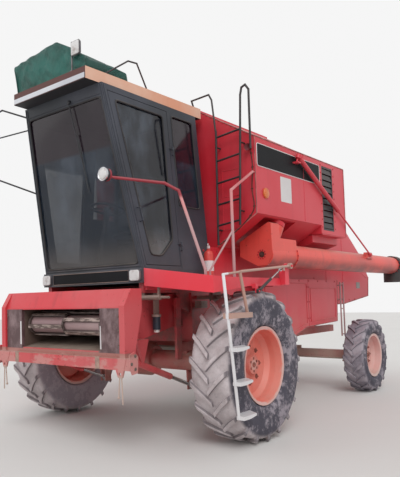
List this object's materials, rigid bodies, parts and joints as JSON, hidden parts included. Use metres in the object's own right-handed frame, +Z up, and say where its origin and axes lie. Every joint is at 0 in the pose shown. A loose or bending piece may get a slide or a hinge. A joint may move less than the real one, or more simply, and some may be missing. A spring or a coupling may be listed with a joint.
{
  "type": "combine harvester",
  "caption": "Mid-size combine harvester without a header, with cab, grain tank, folded unloading auger, raised feeder house and lugged wheels.",
  "frame": {"origin": "on the ground under the middle of the machine's box", "axes": "+Y towards the rear of the machine, +X towards its left side, +Z up"},
  "size_m": [3.474, 7.18, 4.263],
  "materials": {
    "red_paint": "faded, worn and rusty in places",
    "black_paint": "dull",
    "galvanised": "dull with rust",
    "cast_iron": "rough",
    "glass": "clear, slightly dusty",
    "faded_roof": "faded",
    "canvas": "coated canvas, creased",
    "lamp": "clear lens in a housing",
    "black_plastic": "matt",
    "fabric": "woven",
    "grey_steel": "worn steel with rust",
    "rod_chrome": "polished",
    "rubber": "matt",
    "tyre": "dusty rubber",
    "rim_paint": "faded and dusty"
  },
  "bodies": {
    "machine": {"chassis_frame": "red_paint", "drive_axle": "red_paint", "threshing_body": "red_paint", "cleaning_shoe": "galvanised", "straw_hood": "red_paint", "side_shields": "red_paint", "grain_tank": "red_paint", "tank_ladder": "black_paint", "engine_block": "cast_iron", "engine_cover": "red_paint", "engine_grilles": "black_paint", "cab_base": "black_paint", "cab_shell": "black_paint", "cab_glass": "glass", "cab_roof": "faded_roof", "roof_canvas": "canvas", "lamps": "lamp", "mirror_right": "black_plastic", "seat": "fabric", "steering_column": "black_plastic", "platform": "red_paint", "handrails": "red_paint", "hydraulics": "grey_steel", "rear_axle": "red_paint"},
    "door": {"cab_door": "black_paint", "door_glass": "glass"},
    "ladder": {"access_ladder": "grey_steel"},
    "ladder_strut_tube": {"ladder_strut_tube": "black_paint"},
    "ladder_strut_rod": {"ladder_strut_rod": "rod_chrome"},
    "feeder": {"feeder_house": "red_paint", "feeder_chain": "grey_steel"},
    "feeder_drum": {"feeder_drum": "grey_steel"},
    "lift_tube_left": {"lift_tube_left": "red_paint"},
    "lift_rod_left": {"lift_rod_left": "rod_chrome"},
    "lift_tube_right": {"lift_tube_right": "red_paint"},
    "lift_rod_right": {"lift_rod_right": "rod_chrome"},
    "auger": {"auger_tube": "red_paint", "auger_stay": "red_paint", "auger_spout": "rubber"},
    "drive_wheel_left": {"drive_tyre_left": "tyre", "drive_rim_left": "rim_paint"},
    "drive_wheel_right": {"drive_tyre_right": "tyre", "drive_rim_right": "rim_paint"},
    "knuckle_left": {"knuckle_left": "red_paint"},
    "knuckle_right": {"knuckle_right": "red_paint"},
    "tie_rod": {"tie_rod": "grey_steel"},
    "steer_wheel_left": {"steer_tyre_left": "tyre", "steer_rim_left": "rim_paint"},
    "steer_wheel_right": {"steer_tyre_right": "tyre", "steer_rim_right": "rim_paint"}
  },
  "joints": [
    {"name": "door_hinge", "type": "hinge", "parent": "machine", "child": "door", "pos_m": [0.67044, -2.346, 2.6], "axis": [-0.0825, 0, 0.9966], "range_deg": [0, 80]},
    {"name": "ladder_pivot", "type": "hinge", "parent": "machine", "child": "ladder", "pos_m": [1.672, -1.672, 1.819], "axis": [-1, 0, 0], "range_deg": [0, 50]},
    {"name": "ladder_strut_turn", "type": "hinge", "parent": "machine", "child": "ladder_strut_tube", "pos_m": [1.632, -2.298, 1.549], "axis": [1, 0, 0], "range_deg": [0, 11.58]},
    {"name": "ladder_strut_slide", "type": "slide", "parent": "ladder_strut_tube", "child": "ladder_strut_rod", "axis": [0, 0.9, 0.4358], "range_m": [0, 0.0768]},
    {"name": "feeder_pivot", "type": "hinge", "parent": "machine", "child": "feeder", "pos_m": [-0.068, -2.31, 1.45], "axis": [1, 0, 0], "range_deg": [0, 22]},
    {"name": "drum_spin", "type": "hinge", "parent": "feeder", "child": "feeder_drum", "pos_m": [-0.068, -3.32, 1.25], "axis": [1, 0, 0], "continuous": true},
    {"name": "lift_left_turn", "type": "hinge", "parent": "feeder", "child": "lift_tube_left", "pos_m": [0.632, -3.05, 0.85], "axis": [1, 0, 0], "range_deg": [-11.8, 0]},
    {"name": "lift_left_slide", "type": "slide", "parent": "lift_tube_left", "child": "lift_rod_left", "axis": [0, 0.9371, -0.3489], "range_m": [-0.3308, 0]},
    {"name": "lift_right_turn", "type": "hinge", "parent": "feeder", "child": "lift_tube_right", "pos_m": [-0.768, -3.05, 0.85], "axis": [1, 0, 0], "range_deg": [-11.8, 0]},
    {"name": "lift_right_slide", "type": "slide", "parent": "lift_tube_right", "child": "lift_rod_right", "axis": [0, 0.9371, -0.3489], "range_m": [-0.3308, 0]},
    {"name": "auger_swing", "type": "hinge", "parent": "machine", "child": "auger", "pos_m": [1.062, -1.11, 2], "axis": [0.1662, 0.3747, 0.9121], "range_deg": [-95, 0]},
    {"name": "drive_wheel_left_spin", "type": "hinge", "parent": "machine", "child": "drive_wheel_left", "pos_m": [1.366, -2.11, 0.78], "axis": [1, 0, 0], "continuous": true},
    {"name": "drive_wheel_right_spin", "type": "hinge", "parent": "machine", "child": "drive_wheel_right", "pos_m": [-1.502, -2.11, 0.78], "axis": [1, 0, 0], "continuous": true},
    {"name": "steer_left", "type": "hinge", "parent": "machine", "child": "knuckle_left", "pos_m": [0.972, 1.622, 0.551], "axis": [0, 0, 1], "range_deg": [-28, 28]},
    {"name": "steer_right", "type": "hinge", "parent": "machine", "child": "knuckle_right", "pos_m": [-1.108, 1.622, 0.551], "axis": [0, 0, 1], "range_deg": [-28, 28]},
    {"name": "tie_rod_turn", "type": "hinge", "parent": "knuckle_left", "child": "tie_rod", "pos_m": [0.972, 1.422, 0.5], "axis": [0, 0, 1], "range_deg": [-28, 28]},
    {"name": "steer_wheel_left_spin", "type": "hinge", "parent": "knuckle_left", "child": "steer_wheel_left", "pos_m": [1.223, 1.622, 0.551], "axis": [1, 0, 0], "continuous": true},
    {"name": "steer_wheel_right_spin", "type": "hinge", "parent": "knuckle_right", "child": "steer_wheel_right", "pos_m": [-1.359, 1.622, 0.551], "axis": [1, 0, 0], "continuous": true}
  ],
  "couplings": [
    {"joint": "ladder_strut_turn", "follows": "ladder_pivot", "ratio": 0.22569},
    {"joint": "ladder_strut_slide", "follows": "ladder_pivot", "m_per_rad": 0.08576},
    {"joint": "steer_right", "follows": "steer_left", "ratio": 1},
    {"joint": "tie_rod_turn", "follows": "steer_left", "ratio": -1},
    {"joint": "lift_left_turn", "follows": "feeder_pivot", "ratio": -0.52284},
    {"joint": "lift_left_slide", "follows": "feeder_pivot", "m_per_rad": -0.85383},
    {"joint": "lift_right_turn", "follows": "feeder_pivot", "ratio": -0.52284},
    {"joint": "lift_right_slide", "follows": "feeder_pivot", "m_per_rad": -0.85383}
  ]
}
